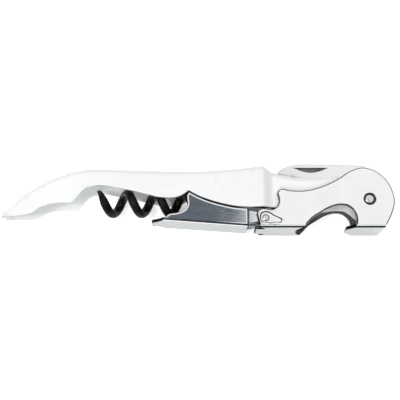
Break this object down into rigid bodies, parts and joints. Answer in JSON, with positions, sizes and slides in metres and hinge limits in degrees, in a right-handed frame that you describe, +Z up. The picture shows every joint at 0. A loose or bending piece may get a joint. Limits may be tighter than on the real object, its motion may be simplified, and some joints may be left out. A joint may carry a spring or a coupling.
{
  "type": "waiter's corkscrew",
  "caption": "Folding waiter's corkscrew: curved channel handle, two-step bottle lever with cap lifter, coated worm and serrated foil blade, closed.",
  "frame": {"origin": "centre of the closed tool's bounding box in X and Y, on the flat outer face of the handle's lower wall, which lies on the surface", "axes": "+X along the handle towards the head, +Y towards the handle's spine, +Z up through the two side walls, along every pivot"},
  "size_m": [0.1235, 0.022, 0.013],
  "materials": {
    "white_handle": "smooth white enamel, satin gloss",
    "bright_plate": "bright nickel plate, fine polishing marks",
    "black_coating": "black non-stick coating, semi-gloss",
    "blade_steel": "fine satin stainless steel",
    "rivet_steel": "plain steel, satin",
    "spring_steel": "tempered spring steel",
    "brass": "plain brass washers and spacers"
  },
  "bodies": {
    "handle": {"handle_shell": "white_handle", "eye_rivet": "rivet_steel", "eye_tube": "rivet_steel", "blade_spacer_front": "brass", "blade_spacer_rear": "brass", "eye_washer_front": "brass", "eye_washer_rear": "brass", "worm_pin": "rivet_steel", "worm_spacer_front": "rivet_steel", "worm_spacer_rear": "rivet_steel", "spring_pin": "rivet_steel", "blade_spring": "spring_steel"},
    "head_lever": {"head_lever": "bright_plate", "hinge_rivet": "rivet_steel", "hinge_washer_front": "brass", "hinge_washer_rear": "brass"},
    "step_lever": {"step_lever": "bright_plate", "hinge_tube": "rivet_steel"},
    "worm": {"worm": "black_coating"},
    "foil_blade": {"foil_blade": "blade_steel"}
  },
  "joints": [
    {"name": "lever_hinge", "type": "hinge", "parent": "handle", "child": "head_lever", "pos_m": [0.05387, -0.00187, 0.0065], "axis": [0, 0, 1], "range_deg": [0, 150]},
    {"name": "step_hinge", "type": "hinge", "parent": "head_lever", "child": "step_lever", "pos_m": [0.02127, -0.00792, 0.0065], "axis": [0, 0, 1], "range_deg": [0, 40]},
    {"name": "worm_hinge", "type": "hinge", "parent": "handle", "child": "worm", "pos_m": [0.02587, -0.00187, 0.0065], "axis": [0, 0, 1], "range_deg": [0, 90]},
    {"name": "blade_hinge", "type": "hinge", "parent": "handle", "child": "foil_blade", "pos_m": [0.05387, -0.00187, 0.0065], "axis": [0, 0, -1], "range_deg": [0, 150]}
  ],
  "couplings": [
    {"joint": "worm_hinge", "follows": "lever_hinge", "ratio": 0.6}
  ]
}
